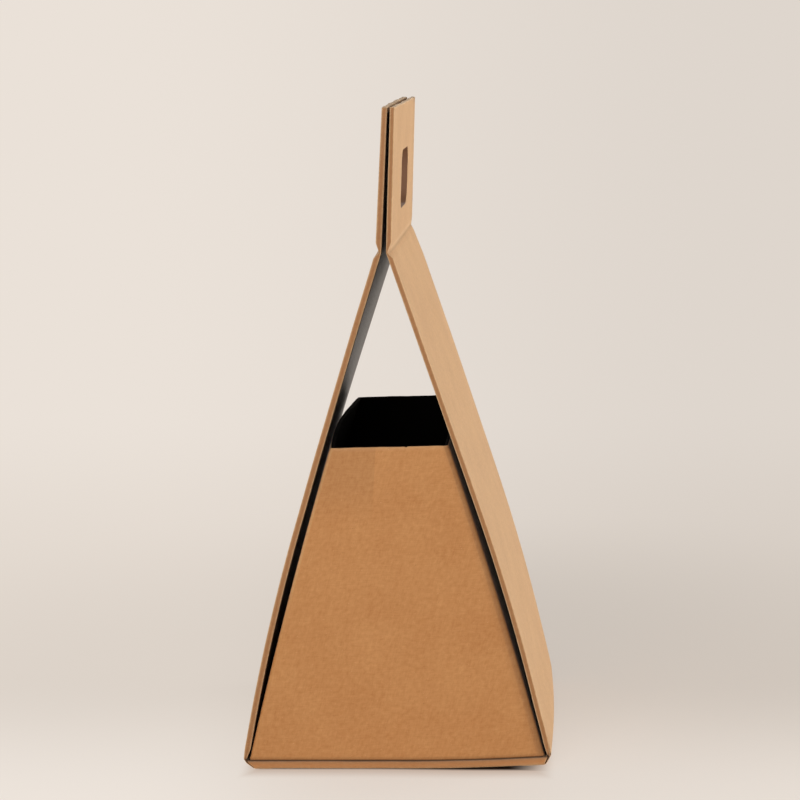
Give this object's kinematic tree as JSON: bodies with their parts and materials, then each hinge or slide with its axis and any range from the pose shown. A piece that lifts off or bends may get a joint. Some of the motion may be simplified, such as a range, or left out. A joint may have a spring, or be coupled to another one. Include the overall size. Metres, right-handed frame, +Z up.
{
  "type": "gift box with handle",
  "caption": "Tent-shaped kraft gift box: a hinged cover leans together over an open tapered tray and ends in standing handle panels with a hand slot.",
  "frame": {"origin": "middle of the underside of the base panel", "axes": "+Z up, +X to the right flap seen from the front, +Y from the front to the back"},
  "size_m": [0.15, 0.155, 0.3214],
  "materials": {
    "cover_kraft": "matt kraft paper over board",
    "tray_kraft": "matt kraft card",
    "black_lining": "black lining paper with a faint sheen"
  },
  "bodies": {
    "base": {"base_panel": "cover_kraft", "tray": "tray_kraft", "tray_lining": "black_lining"},
    "left_flap": {"left_flap": "cover_kraft", "left_lining": "black_lining"},
    "right_flap": {"right_flap": "cover_kraft", "right_lining": "black_lining"}
  },
  "joints": [
    {"name": "left_fold", "type": "hinge", "parent": "base", "child": "left_flap", "pos_m": [-0.0741, 0, 0.00525], "axis": [0, -1, 0], "range_deg": [0, 104]},
    {"name": "right_fold", "type": "hinge", "parent": "base", "child": "right_flap", "pos_m": [0.0741, 0, 0.00725], "axis": [0, 1, 0], "range_deg": [0, 103]}
  ]
}
